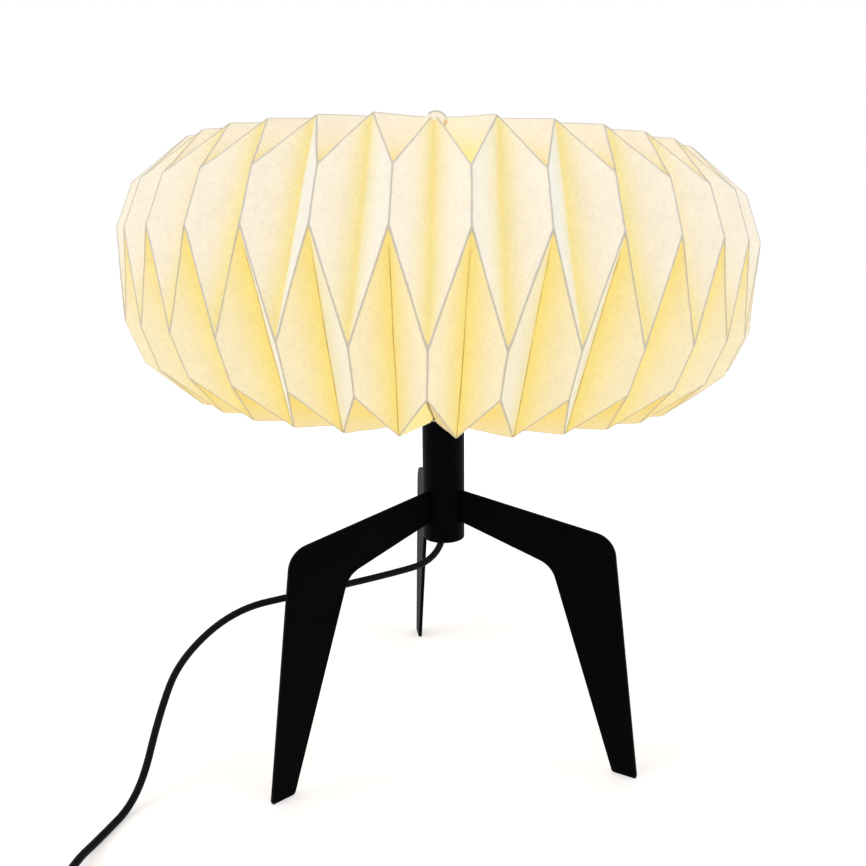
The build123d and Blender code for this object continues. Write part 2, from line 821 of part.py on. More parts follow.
least = min(
    (samples[i] - samples[j]).length
    for i in range(0, 3001, 4)
    for j in range(i + skip, 3001, 2)
)
print("coil least gap to itself", round(least - cord_diameter, 2))

plug_start_x = coil_exit.X + heading.X * 72
lead_points = [
    (coil_exit.X, coil_exit.Y, coil_exit.Z),
    (coil_exit.X + heading.X * 22, coil_exit.Y, coil_exit.Z),
    (coil_exit.X + heading.X * 50, coil_exit.Y, plug_axis_z),
    (plug_start_x, coil_exit.Y, plug_axis_z),
]
cord_lead = cord_tube(lead_points)
cord_lead.label = "cord_lead"
export_step(cord_lead, "parts/cord_lead.step")

# ---------------------------------------------------------------- inline switch
switch_inner_width = switch_width - 5.0
switch_inner_length = switch_length - 22.0
rocker_hinge_z = 12.5
pivot_radius = 1.2
post_thickness = 2.0
post_top = 14.8
screw_spots = [
    (switch_centre[0] + 6.5, switch_centre[1] + switch_length / 2 - 7.0),
    (switch_centre[0] - 6.5, switch_centre[1] - switch_length / 2 + 7.0),
]


def switch_outline(inset=0.0):
    """Rounded plan of the switch body."""
    with BuildSketch() as plan:
        with Locations(switch_centre):
            RectangleRounded(switch_width - 2 * inset, switch_length - 2 * inset, 9 - inset)
    return plan.sketch


switch_body_plan = switch_outline()
with BuildPart() as switch_base:
    with BuildSketch(Plane.XY):
        add(switch_body_plan)
    extrude(amount=switch_base_height)
    fillet(switch_base.faces().sort_by(Axis.Z)[0].edges(), 2)
    with BuildSketch(Plane.XY.offset(2.0)):
        with Locations(switch_centre):
            Rectangle(switch_inner_width, switch_inner_length)
    extrude(amount=switch_base_height, mode=Mode.SUBTRACT)
    with BuildSketch(Plane.XY):
        with Locations(*screw_spots):
            Circle(1.6)
    extrude(amount=switch_base_height, mode=Mode.SUBTRACT)
    with BuildSketch(Plane.XY):
        with Locations(*screw_spots):
            Circle(2.9)
    extrude(amount=2.2, mode=Mode.SUBTRACT)
    for across in (-1, 1):
        post_face = switch_centre[0] + across * (rocker_width / 2 + running)
        with BuildSketch(Plane(origin=(post_face, switch_centre[1], 0), x_dir=(0, 1, 0), z_dir=(1, 0, 0))):
            with Locations((0, (1.9 + post_top) / 2)):
                Rectangle(6, post_top - 1.9)
            with Locations((0, rocker_hinge_z)):
                Circle(pivot_radius + touch, mode=Mode.SUBTRACT)
        extrude(amount=across * post_thickness)
switch_base.part.label = "switch_base"
export_step(switch_base.part, "parts/switch_base.step")

with BuildPart() as switch_cover:
    with BuildSketch(Plane.XY.offset(switch_base_height + touch)):
        add(switch_body_plan)
    extrude(amount=switch_height - switch_base_height - touch)
    fillet(switch_cover.faces().sort_by(Axis.Z)[-1].edges(), 3)
    with BuildSketch(Plane.XY.offset(switch_base_height)):
        with Locations(switch_centre):
            Rectangle(switch_inner_width, switch_inner_length)
    extrude(amount=switch_height - switch_base_height - 2.0, mode=Mode.SUBTRACT)
    with BuildSketch(Plane.XY.offset(switch_base_height)):
        with Locations(switch_centre):
            Rectangle(rocker_width + 0.8, rocker_length + 1.4)
    extrude(amount=switch_height, mode=Mode.SUBTRACT)
    with BuildSketch(Plane.XY.offset(switch_base_height)):
        with Locations(*screw_spots):
            Circle(1.2)
    extrude(amount=5, mode=Mode.SUBTRACT)
switch_cover.part.label = "switch_cover"
export_step(switch_cover.part, "parts/switch_cover.step")

with BuildPart() as switch_screws:
    for spot in screw_spots:
        with BuildSketch(Plane.XY.offset(0.4)):
            with Locations(spot):
                Circle(2.6)
        extrude(amount=1.7)
        with BuildSketch(Plane.XY.offset(2.1)):
            with Locations(spot):
                Circle(1.1)
        extrude(amount=9.5)
        with BuildSketch(Plane.XY.offset(0.4)):
            with Locations(spot):
                Rectangle(3.6, 0.7)
                Rectangle(0.7, 3.6)
        extrude(amount=0.8, mode=Mode.SUBTRACT)
switch_screws.part.label = "switch_screws"
export_step(switch_screws.part, "parts/switch_screws.step")

# The rocker tips about an X axis, at rest on its ON stop, its back end pressed down.
with BuildPart() as rocker_level:
    with BuildSketch(Plane.YZ.offset(-rocker_width / 2)):
        with BuildLine():
            Polyline(
                (-rocker_length / 2 + 1.6, -2.6),
                (rocker_length / 2 - 1.6, -2.6),
                (rocker_length / 2, 4.4),
                (0, 6.2),
                (-rocker_length / 2, 4.4),
                close=True,
            )
        make_face()
    extrude(amount=rocker_width)
    fillet(rocker_level.edges().filter_by(Axis.X).sort_by(Axis.Z)[-3:], 0.6)
    pivot_reach = rocker_width / 2 + running + post_thickness
    with BuildSketch(Plane.YZ.offset(-pivot_reach)):
        Circle(pivot_radius)
    extrude(amount=2 * pivot_reach)
rocker_place = Location((switch_centre[0], switch_centre[1], rocker_hinge_z), (rocker_angle, 0, 0))
switch_rocker = rocker_place * rocker_level.part
switch_rocker.label = "switch_rocker"
export_step(switch_rocker, "parts/switch_rocker.step")

# ---------------------------------------------------------------- plug
# Flat two-pin plug lying on its broad side, its pins pointing away from the coil.
plug_turn = 1 if heading.X > 0 else -1
plug_face = plug_start_x + plug_turn * 46.0
plug_steps = [(0.0, 9.0, 9.0), (12.0, 10.5, 10.5), (20.0, 20.0, 13.0), (34.0, 33.0, 13.7), (46.0, 35.3, 13.7)]
with BuildPart() as plug_body:
    for along_x, width, height in plug_steps:
        spot = (plug_start_x + plug_turn * along_x, coil_exit.Y, plug_axis_z)
        with BuildSketch(Plane(origin=spot, x_dir=(0, 1, 0), z_dir=(plug_turn, 0, 0))):
            RectangleRounded(width, height, height / 2 - 1.0)
    loft(ruled=True)
plug_body.part.label = "plug_body"
export_step(plug_body.part, "parts/plug_body.step")

with BuildPart() as pin_sleeves:
    for across in (-pin_spacing / 2, pin_spacing / 2):
        spot = (plug_face + plug_turn * touch, coil_exit.Y + across, plug_axis_z)
        with BuildSketch(Plane(origin=spot, z_dir=(plug_turn, 0, 0))):
            Circle(pin_radius)
            Circle(pin_radius - 0.5, mode=Mode.SUBTRACT)
        extrude(amount=sleeve_length)
pin_sleeves.part.label = "pin_sleeves"
export_step(pin_sleeves.part, "parts/pin_sleeves.step")

with BuildPart() as plug_pins:
    for across in (-pin_spacing / 2, pin_spacing / 2):
        spot = (plug_face + plug_turn * touch, coil_exit.Y + across, plug_axis_z)
        with BuildSketch(Plane(origin=spot, z_dir=(plug_turn, 0, 0))):
            Circle(pin_radius - 0.5 - 0.02)
        extrude(amount=sleeve_length + touch)
        tip = (spot[0] + plug_turn * (sleeve_length + touch), spot[1], spot[2])
        with BuildSketch(Plane(origin=tip, z_dir=(plug_turn, 0, 0))):
            Circle(pin_radius)
        extrude(amount=pin_length - sleeve_length - 2 * touch - 1.2)
        nose = (tip[0] + plug_turn * (pin_length - sleeve_length - 2 * touch - 1.2), tip[1], tip[2])
        with BuildSketch(Plane(origin=nose, z_dir=(plug_turn, 0, 0))):
            Circle(pin_radius)
        extrude(amount=1.2, taper=40)
plug_pins.part.label = "plug_pins"
export_step(plug_pins.part, "parts/plug_pins.step")

print("placed: switch y", switch_front, switch_back, "coil end", coil_exit, "plug x", plug_start_x, plug_face)
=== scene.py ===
"""Dresses a pleated paper table lamp: folded paper, lead, finishes, stage and camera."""
import json
import math

import bpy
import numpy as np
from bpy.props import FloatProperty, FloatVectorProperty, IntProperty, PointerProperty
from mathutils import Matrix, Vector, noise


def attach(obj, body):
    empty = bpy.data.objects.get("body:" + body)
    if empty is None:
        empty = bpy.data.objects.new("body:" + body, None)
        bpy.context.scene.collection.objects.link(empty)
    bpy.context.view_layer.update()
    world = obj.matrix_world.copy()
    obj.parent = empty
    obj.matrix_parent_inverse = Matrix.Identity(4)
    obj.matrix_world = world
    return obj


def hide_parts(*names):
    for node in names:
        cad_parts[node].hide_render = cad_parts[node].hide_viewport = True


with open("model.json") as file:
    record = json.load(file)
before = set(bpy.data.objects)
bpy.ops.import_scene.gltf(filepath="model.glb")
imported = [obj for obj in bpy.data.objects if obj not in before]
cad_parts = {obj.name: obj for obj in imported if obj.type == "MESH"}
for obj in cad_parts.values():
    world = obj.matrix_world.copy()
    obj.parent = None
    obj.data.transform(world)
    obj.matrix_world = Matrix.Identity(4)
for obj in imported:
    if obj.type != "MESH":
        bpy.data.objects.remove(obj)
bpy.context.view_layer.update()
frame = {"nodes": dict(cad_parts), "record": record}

bl_info = {
    "name": "Paper Lantern Lamp",
    "version": (1, 0, 0),
    "blender": (4, 5, 0),
    "location": "View3D > Sidebar > Lamp",
    "description": "Builds the looks of a table lamp with a folded paper shade",
    "category": "Object",
}

NODES = frame["nodes"]
MM = 0.001

# ---------------------------------------------------------------- places shared with the solids
TUBE_RADIUS = 0.015
LEAD_DIAMETER = 0.005
LEAD_EXIT = (0.0, 0.0, 0.160)
SWITCH_CENTRE = (-0.217, -0.203)
SWITCH_HALF = 0.031
SWITCH_LEAD_Z = 0.007
PLUG_Z = 0.007
PLEATS = 36
PLEAT_ANGLE = 10.0
PLEAT_PHASE = -5.67
LEAN = math.radians(1.74)
SHADE_SHIFT = -0.0032
SHADE_MIDDLE = 0.345
SHEETS = ("right", "rear", "left")

# Each fold's creases from the gathered top edge to the gathered bottom edge: radius, height.
FOLD_A = ((0.0460, 0.4020), (0.1898, 0.3873), (0.1996, 0.3623), (0.1625, 0.2628), (0.0245, 0.2410))
FOLD_B = ((0.0460, 0.4310), (0.1605, 0.4127), (0.1992, 0.3100), (0.1906, 0.2871), (0.0245, 0.2450))

COIL_INNER = 0.0214
COIL_STEP = 0.0067
COIL_RISE = 0.0060
COIL_LAYERS = 4
COIL_CENTRE = (-0.143, -0.2586)
TAB_CENTRE = (-0.0021, -0.1626, 0.4088)
TAB_SIZE = (0.0096, 0.0078)
TAB_TURN = math.radians(13)


# ---------------------------------------------------------------- settings
class LAMP_PG_paper(bpy.types.PropertyGroup):
    """Paper of the lantern."""

    thickness: FloatProperty(name="Thickness", description="Thickness of the paper", default=0.0004, unit="LENGTH")
    flat_height: FloatProperty(
        name="Flat height", description="Height of one sheet before folding", default=0.417, unit="LENGTH"
    )
    flat_width: FloatProperty(
        name="Flat width", description="Width of one sheet before folding", default=0.624, unit="LENGTH"
    )
    buckle: FloatProperty(
        name="Buckle", description="How far a facet bows between its folds", default=0.0006, unit="LENGTH"
    )
    fibre_colour: FloatVectorProperty(
        name="Paper", description="Colour of the unlit paper", default=(0.36, 0.35, 0.33), subtype="COLOR"
    )
    # the glow colours below are painted light, the bulb's light through the paper; the ridge colour is painted shade
    cream: FloatVectorProperty(
        name="Cream glow", description="Light through the upper facets", default=(0.71, 0.625, 0.48), subtype="COLOR"
    )
    warm_cream: FloatVectorProperty(
        name="Warm glow", description="Light through the lower facets", default=(0.71, 0.595, 0.345), subtype="COLOR"
    )
    yellow: FloatVectorProperty(
        name="Yellow glow", description="Light in the upper valleys", default=(0.68, 0.53, 0.11), subtype="COLOR"
    )
    amber: FloatVectorProperty(
        name="Amber glow", description="Light in the lower valleys", default=(0.71, 0.51, 0.03), subtype="COLOR"
    )
    pale: FloatVectorProperty(
        name="Pale glow", description="Light through facets seen edge on", default=(0.56, 0.575, 0.55), subtype="COLOR"
    )
    ridge: FloatVectorProperty(
        name="Ridge", description="Light on the doubled ridges", default=(0.27, 0.245, 0.215), subtype="COLOR"
    )
    # the dull line is painted shade along each ridge
    ridge_width: FloatProperty(
        name="Ridge width", description="Width of the dull line along a ridge", default=0.0010, unit="LENGTH"
    )


class LAMP_PG_lead(bpy.types.PropertyGroup):
    """Mains lead."""

    diameter: FloatProperty(name="Diameter", description="Outside diameter", default=LEAD_DIAMETER, unit="LENGTH")
    front_length: FloatProperty(
        name="Lamp to switch", description="Length from the lamp to the switch", default=0.393, unit="LENGTH"
    )
    rear_length: FloatProperty(
        name="Switch to plug", description="Length from the switch to the plug", default=1.330, unit="LENGTH"
    )


class LAMP_PG_stage(bpy.types.PropertyGroup):
    """Camera, floor and lights."""

    focal: FloatProperty(name="Focal length", description="Lens on a 36 mm sensor", default=31.0)
    distance: FloatProperty(name="Distance", description="Camera in front of the tube", default=0.5165, unit="LENGTH")
    height: FloatProperty(name="Height", description="Camera above the floor", default=0.3476, unit="LENGTH")
    pitch: FloatProperty(
        name="Pitch", description="Camera tilt downwards", default=math.radians(12.98), subtype="ANGLE"
    )
    yaw: FloatProperty(
        name="Yaw", description="Camera turn to the right", default=math.radians(-0.81), subtype="ANGLE"
    )
    roll: FloatProperty(
        name="Roll", description="Camera turn about its axis", default=math.radians(-0.51), subtype="ANGLE"
    )
    floor_colour: FloatVectorProperty(
        name="Floor", description="Colour of the floor", default=(0.94, 0.94, 0.94), subtype="COLOR"
    )
    world_level: FloatProperty(name="World level", description="Light from all round", default=0.57)
    key_watts: FloatProperty(name="Key light", description="Power of the light on the left", default=13.0)
    fill_watts: FloatProperty(name="Fill light", description="Power of the light on the right", default=6.0)


SETTINGS = (LAMP_PG_paper, LAMP_PG_lead, LAMP_PG_stage)


# ---------------------------------------------------------------- small helpers
def clear_selection():
    """Leave object mode with nothing selected."""
    if bpy.context.object and bpy.context.object.mode != "OBJECT":
        bpy.ops.object.mode_set(mode="OBJECT")
    bpy.ops.object.select_all(action="DESELECT")


def active(obj):
    """Make one object the only selected and active one."""
    clear_selection()
    obj.select_set(True)
    bpy.context.view_layer.objects.active = obj


def apply_modifiers(obj):
    """Apply every modifier of an object in order."""
    active(obj)
    for modifier in list(obj.modifiers):
        bpy.ops.object.modifier_apply(modifier=modifier.name)


def settle(obj):
    """Move an object's place into its mesh."""
    active(obj)
    bpy.ops.object.transform_apply(location=True, rotation=True, scale=True)


def outward(azimuth):
    """Unit vector away from the axis; azimuth in degrees from the front, positive right."""
    a = math.radians(azimuth)
    return Vector((math.sin(a), -math.cos(a), 0.0))


def lean_matrix():
    """Place of the leaning lantern."""
    turn = Matrix.Rotation(LEAN, 4, "Y")
    return Matrix.Translation((SHADE_SHIFT, 0, SHADE_MIDDLE)) @ turn @ Matrix.Translation((0, 0, -SHADE_MIDDLE))


# ---------------------------------------------------------------- camera
def camera_axes(settings):
    """Right, up and forward of the photograph's camera."""
    cp, sp = math.cos(settings.pitch), math.sin(settings.pitch)
    cy, sy = math.cos(settings.yaw), math.sin(settings.yaw)
    forward = Vector((sy * cp, cy * cp, -sp))
    right = Vector((cy, -sy, 0.0))
    up = right.cross(forward)
    c, s = math.cos(settings.roll), math.sin(settings.roll)
    return right * c + up * s, up * c - right * s, forward


class LAMP_OT_camera(bpy.types.Operator):
    """Set up the camera at the photograph's angle."""

    bl_idname = "lamp.camera"
    bl_label = "Camera"

    def execute(self, context):
        settings = context.scene.lamp_stage
        data = bpy.data.cameras.new("photo_camera")
        data.sensor_width = 36.0
        data.lens = settings.focal
        camera = bpy.data.objects.new("photo_camera", data)
        context.collection.objects.link(camera)
        right, up, forward = camera_axes(settings)
        camera.matrix_world = Matrix(
            (
                (right.x, up.x, -forward.x, 0.0),
                (right.y, up.y, -forward.y, -settings.distance),
                (right.z, up.z, -forward.z, settings.height),
                (0.0, 0.0, 0.0, 1.0),
            )
        )
        context.scene.camera = camera
        return {"FINISHED"}


# ---------------------------------------------------------------- lead
def lead_curve(name, points, diameter):
    """Open smooth curve with a round section whose control points are the route's corners."""
    data = bpy.data.curves.new(name, "CURVE")
    data.dimensions = "3D"
    spline = data.splines.new("NURBS")
    spline.points.add(len(points) - 1)
    for point, spot in zip(spline.points, points):
        point.co = (*spot, 1.0)
    spline.order_u = 3
    spline.use_endpoint_u = True
    data.resolution_u = 8
    data.bevel_depth = diameter / 2
    data.bevel_resolution = 5
    data.use_fill_caps = True
    obj = bpy.data.objects.new(name, data)
    bpy.context.collection.objects.link(obj)
    return obj


def front_route(radius):
    """From the gland, behind the left leg, down to the floor and on to the switch."""
    return [
        LEAD_EXIT,
        (0.0, 0.0, 0.133),
        (-0.049, -0.008, 0.122),
        (-0.103, -0.026, 0.117),
        (-0.146, -0.041, 0.113),
        (-0.181, -0.056, 0.084),
        (-0.193, -0.069, 0.052),
        (-0.203, -0.092, radius),
        (-0.214, -0.130, radius),
        (SWITCH_CENTRE[0], -0.151, SWITCH_LEAD_Z),
        (SWITCH_CENTRE[0], SWITCH_CENTRE[1] + SWITCH_HALF, SWITCH_LEAD_Z),
    ]


def coil_route(radius):
    """Control points round the coil, tangent to its half turns, and the place where it ends."""
    reach = COIL_INNER + 1.5 * COIL_STEP
    side = -1
    spots, heights = [], []
    for layer in range(COIL_LAYERS):
        turns = 3 if layer < COIL_LAYERS - 1 else 2
        for step in range(turns + 1):
            spots.append(side * reach)
            heights.append(radius + layer * COIL_RISE)
            if step < turns:
                reach += COIL_STEP / 2 if layer % 2 else -COIL_STEP / 2
            side = -side
    points = []
    heading = 1.0
    per_half = 6
    for low, high, z_low, z_high in zip(spots, spots[1:], heights, heights[1:]):
        middle, swing = (low + high) / 2, (high - low) / 2
        arm = abs(swing) / math.cos(math.pi / per_half / 2)
        for i in range(per_half):
            share = (i + 0.5) / per_half
            angle = math.pi * share
            points.append(
                (
                    COIL_CENTRE[0] + heading * arm * math.sin(angle),
                    COIL_CENTRE[1] + middle - math.copysign(arm, swing) * math.cos(angle),
                    z_low + (z_high - z_low) * share,
                )
            )
        heading = -heading
    end = (COIL_CENTRE[0], COIL_CENTRE[1] + spots[-1], heights[-1])
    return points, end, heading


def rear_route(radius):
    """From the switch, round the coil of spare lead, to the plug."""
    turns, end, heading = coil_route(radius)
    floor_y = COIL_CENTRE[1] - COIL_INNER - 1.5 * COIL_STEP
    back = SWITCH_CENTRE[1] - SWITCH_HALF
    points = [
        (SWITCH_CENTRE[0], back, SWITCH_LEAD_Z),
        (SWITCH_CENTRE[0], back - 0.016, SWITCH_LEAD_Z),
        (SWITCH_CENTRE[0], floor_y, radius),
        (COIL_CENTRE[0] - 0.012, floor_y, radius),
    ]
    points += turns
    exit_x = end[0] + heading * LEAD_DIAMETER
    points += [
        (end[0] + heading * 0.004, end[1], end[2]),
        (exit_x + heading * 0.022, end[1], end[2]),
        (exit_x + heading * 0.050, end[1], PLUG_Z),
        (exit_x + heading * 0.072, end[1], PLUG_Z),
    ]
    return points


class LAMP_OT_leads(bpy.types.Operator):
    """Lay the mains lead from the lamp to the switch and on to the plug."""

    bl_idname = "lamp.leads"
    bl_label = "Mains lead"

    def execute(self, context):
        settings = context.scene.lamp_lead
        radius = settings.diameter / 2
        sheath = lead_material()
        front = lead_curve("lead_to_switch", front_route(radius), settings.diameter)
        rear = lead_curve("lead_to_plug", rear_route(radius), settings.diameter)
        for obj in (front, rear):
            obj.data.materials.append(sheath)
            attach(obj, "stand")
        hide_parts("cord_free")
        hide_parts("cord_tail", "cord_coil", "cord_lead")
        return {"FINISHED"}


# ---------------------------------------------------------------- folded paper
ACROSS = (0.0, 0.025, 0.08, 0.25, 0.5, 0.75, 0.92, 0.975)      # places between two folds
DOWN = (0.0, 0.012, 0.04, 0.12, 0.3, 0.5, 0.7, 0.88, 0.96, 0.988)      # places between two creases
BANDS = 4


def seam_pull(azimuth):
    """How far, in degrees, the drawstring pulls a pleat beside the front seam towards it."""
    return 5.7 * math.exp(-(((azimuth - 9.33) / 6.0) ** 2))


def fold_grid(buckle):
    """Points of the whole lantern: columns round it, rows down it, before it leans."""
    columns = PLEATS * 2 * len(ACROSS)
    rows = BANDS * len(DOWN) + 1
    grid = np.zeros((columns, rows, 3))
    rng = np.random.default_rng(7)
    bow = rng.normal(0.0, buckle, (PLEATS * 2, BANDS))
    for half in range(PLEATS * 2):
        # half 0 runs from the fold B ahead of pleat 1's fold A
        first = PLEAT_PHASE + (0.5 + half * 0.5) * PLEAT_ANGLE
        lines = []
        for azimuth, fold in ((first, FOLD_B if half % 2 == 0 else FOLD_A),
                              (first + PLEAT_ANGLE / 2, FOLD_A if half % 2 == 0 else FOLD_B)):
            out = np.array(outward(azimuth))
            line = np.array([out * r + (0, 0, z) for r, z in fold])
            line[0] = np.array(outward(azimuth - seam_pull(azimuth))) * fold[0][0] + (0, 0, fold[0][1])
            lines.append(line)
        for column, s in enumerate(ACROSS):
            x = half * len(ACROSS) + column
            for row in range(rows):
                band, place = divmod(row, len(DOWN))
                t = DOWN[place]
                if band == BANDS:
                    band, t = BANDS - 1, 1.0
                left = lines[0][band] * (1 - t) + lines[0][band + 1] * t
                right = lines[1][band] * (1 - t) + lines[1][band + 1] * t
                point = left * (1 - s) + right * s
                normal = np.cross(right - left, lines[0][band + 1] - lines[0][band])
                normal /= max(np.linalg.norm(normal), 1e-9)
                if normal @ np.array((point[0], point[1], 0.0)) < 0:
                    normal = -normal
                point = point + normal * bow[half, band] * 16 * s * (1 - s) * t * (1 - t)
                grid[x, row] = point
    return grid


def soften(grid, passes, strength):
    """Round the creases a little by averaging each point with its neighbours."""
    for _ in range(passes):
        around = (np.roll(grid, 1, 0) + np.roll(grid, -1, 0)) / 2
        down = grid.copy()
        down[:, 1:-1] = (grid[:, :-2] + grid[:, 2:]) / 2
        mixed = (around + down) / 2
        mixed[:, 0], mixed[:, -1] = around[:, 0], around[:, -1]
        grid = grid + strength * (mixed - grid)
    return grid


def line_distance(point, a, b):
    """Distance from a point to the line through two others."""
    along = b - a
    return float(np.linalg.norm(np.cross(point - a, along)) / np.linalg.norm(along))


def write_fold_maps(mesh, grid, first_column, columns):
    """Keep, for each corner, how far it lies from the ridge, the valley and the creases."""
    sides = mesh.uv_layers.new(name="fold_sides")
    ends = mesh.uv_layers.new(name="fold_ends")
    tones = mesh.uv_layers.new(name="fold_tones")
    seam = mesh.uv_layers.new(name="seam_marks")
    step, rows_each = len(ACROSS), len(DOWN)
    total = grid.shape[0]
    index = mesh.attributes["grid_index"].data
    scale = 10.0
    side_values = np.full((len(mesh.loops), 2), 1.0)
    end_values = np.full((len(mesh.loops), 2), 1.0)
    tone_values = np.zeros((len(mesh.loops), 2))
    seam_light_values = np.zeros((len(mesh.loops), 2))
    across = ACROSS + (1.0,)
    for polygon in mesh.polygons:
        spots = [divmod(index[mesh.loops[i].vertex_index].value, 1000) for i in polygon.loop_indices]
        column = min(c for c, _ in spots) + first_column
        row = min(r for _, r in spots)
        half, band = column // step, min(row // rows_each, BANDS - 1)
        left, right = (half * step) % total, ((half + 1) * step) % total
        top, bottom = band * rows_each, (band + 1) * rows_each
        corner = {
            "lt": grid[left, top], "lb": grid[left, bottom], "rt": grid[right, top], "rb": grid[right, bottom]
        }
        fold_b_left = half % 2 == 0
        ridge_is_b = band in (0, 2)
        ridge_left = fold_b_left == ridge_is_b
        for loop, (c, r) in zip(polygon.loop_indices, spots):
            point = grid[(c + first_column) % total, r]
            to_left = line_distance(point, corner["lt"], corner["lb"])
            to_right = line_distance(point, corner["rt"], corner["rb"])
            ridge, valley = (to_left, to_right) if ridge_left else (to_right, to_left)
            side_values[loop] = (ridge * scale, valley * scale)
            up = line_distance(point, corner["lt"], corner["rt"]) if band > 0 else 0.1
            down = line_distance(point, corner["lb"], corner["rb"]) if band < BANDS - 1 else 0.1
            end_values[loop] = (up * scale, down * scale)
            tone_values[loop] = (float(band >= 2), float(band in (0, 3)))
            # painted light beside the front seam: lit at its top, and at its foot lit on the left (-1) and shaded on
            # the right (1)
            if band == 0 and half == 0:
                seam_light_values[loop] = (1.0, 0.0)
            elif band == 0 and half == 1:
                outer = DOWN[r] if r < rows_each else 1.0
                seam_light_values[loop] = ((1.0 - across[c + first_column - half * step]) ** 2 * outer, 0.0)
            elif band == 3 and half in (0, PLEATS * 2 - 1):
                seam_light_values[loop] = (0.0, 1.0 if half == 0 else -1.0)
    for layer, values in ((sides, side_values), (ends, end_values), (tones, tone_values), (seam, seam_light_values)):
        layer.data.foreach_set("uv", values.ravel())


class LAMP_OT_paper(bpy.types.Operator):
    """Fold the three paper sheets of the lantern."""

    bl_idname = "lamp.paper"
    bl_label = "Folded paper"

    def execute(self, context):
        settings = context.scene.lamp_paper
        grid = fold_grid(settings.buckle)
        flat_grid = grid.copy()
        grid = soften(grid, 3, 0.45)
        for column in range(grid.shape[0]):
            for row in range(grid.shape[1]):
                spot = Vector(grid[column, row])
                shake = noise.noise_vector(spot * 45.0) * 0.00035 + noise.noise_vector(spot * 160.0) * 0.00012
                grid[column, row] += np.array(shake)
        place = lean_matrix()
        paper = paper_material(settings)
        columns = grid.shape[0] // len(SHEETS)
        rows = grid.shape[1] - 1
        for number, name in enumerate(SHEETS):
            clear_selection()
            bpy.ops.mesh.primitive_grid_add(x_subdivisions=columns, y_subdivisions=rows, size=1.0)
            sheet = context.object
            sheet.name = "folded_sheet_" + name
            mesh = sheet.data
            first = number * columns
            marks = mesh.attributes.new("grid_index", "INT", "POINT")
            for vertex in mesh.vertices:
                column = round((vertex.co.x + 0.5) * columns)
                row = round((0.5 - vertex.co.y) * rows)
                marks.data[vertex.index].value = column * 1000 + row
                vertex.co = place @ Vector(grid[(first + column) % grid.shape[0], row])
            while mesh.uv_layers:
                mesh.uv_layers.remove(mesh.uv_layers[0])
            write_fold_maps(mesh, flat_grid, first, columns)
            mesh.attributes.remove(mesh.attributes["grid_index"])
            mesh.materials.append(paper)
            wall = sheet.modifiers.new("wall", "SOLIDIFY")
            wall.thickness = settings.thickness
            wall.offset = -1.0
            apply_modifiers(sheet)
            active(sheet)
            bpy.ops.object.shade_smooth_by_angle(angle=math.radians(50))
            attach(sheet, "shade")
            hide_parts("paper_sheet_" + name)
        return {"FINISHED"}


class LAMP_OT_seam_tab(bpy.types.Operator):
    """Round the glued end of the seam that stands up behind the front peak."""

    bl_idname = "lamp.seam_tab"
    bl_label = "Seam tab"

    def execute(self, context):
        settings = context.scene.lamp_paper
        clear_selection()
        bpy.ops.mesh.primitive_circle_add(vertices=40, radius=0.5, fill_type="NGON")
        tab = context.object
        tab.name = "seam_tab"
        tab.scale = (TAB_SIZE[0], TAB_SIZE[1], 1.0)
        tab.rotation_euler = (math.radians(115), TAB_TURN, 0)
        tab.location = TAB_CENTRE
        settle(tab)
        bpy.ops.object.mode_set(mode="EDIT")
        bpy.ops.mesh.select_all(action="SELECT")
        bpy.ops.mesh.extrude_region_move(TRANSFORM_OT_translate={"value": (0, settings.thickness, 0)})
        bpy.ops.mesh.select_all(action="SELECT")
        bpy.ops.mesh.normals_make_consistent(inside=False)
        bpy.ops.object.mode_set(mode="OBJECT")
        tab.data.materials.append(tab_material(settings))
        bpy.ops.object.shade_smooth_by_angle(angle=math.radians(40))
        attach(tab, "shade")
        return {"FINISHED"}


# ---------------------------------------------------------------- node helpers
def start_material(name):
    """New material with its Principled BSDF."""
    material = bpy.data.materials.new(name)
    material.use_nodes = True
    tree = material.node_tree
    shader = next(n for n in tree.nodes if n.type == "BSDF_PRINCIPLED")
    return material, tree, shader


def math_node(tree, operation, a, b=None, c=None, clamp=False):
    """Math node fed by sockets or numbers."""
    node = tree.nodes.new("ShaderNodeMath")
    node.operation = operation
    node.use_clamp = clamp
    for socket, value in zip(node.inputs, (a, b, c)):
        if value is None:
            continue
        if hasattr(value, "links"):
            tree.links.new(value, socket)
        else:
            socket.default_value = value
    return node.outputs[0]


def ramp_between(tree, value, low, high, smooth=True):
    """0 at low and 1 at high."""
    node = tree.nodes.new("ShaderNodeMapRange")
    node.interpolation_type = "SMOOTHSTEP" if smooth else "LINEAR"
    node.inputs["From Min"].default_value = low
    node.inputs["From Max"].default_value = high
    tree.links.new(value, node.inputs["Value"])
    return node.outputs["Result"]


def mix_colours(tree, factor, a, b, mode="MIX"):
    """Mix two colours, each a socket or a colour."""
    node = tree.nodes.new("ShaderNodeMix")
    node.data_type = "RGBA"
    node.blend_type = mode
    factor_socket, a_socket, b_socket = node.inputs[0], node.inputs[6], node.inputs[7]
    for socket, value in ((factor_socket, factor), (a_socket, a), (b_socket, b)):
        if hasattr(value, "links"):
            tree.links.new(value, socket)
        elif socket is factor_socket:
            socket.default_value = value
        else:
            socket.default_value = (*tuple(value)[:3], 1.0)
    return node.outputs[2]


def texture_coordinates(tree):
    """Object coordinates of the piece."""
    return tree.nodes.new("ShaderNodeTexCoord").outputs["Object"]


def noise_at(tree, vector, scale, detail=3.0, roughness=0.5, stretch=None):
    """Noise value, optionally stretched."""
    if stretch:
        mapping = tree.nodes.new("ShaderNodeMapping")
        mapping.inputs["Scale"].default_value = stretch
        tree.links.new(vector, mapping.inputs["Vector"])
        vector = mapping.outputs["Vector"]
    node = tree.nodes.new("ShaderNodeTexNoise")
    node.inputs["Scale"].default_value = scale
    node.inputs["Detail"].default_value = detail
    node.inputs["Roughness"].default_value = roughness
    tree.links.new(vector, node.inputs["Vector"])
    return node.outputs["Fac"]


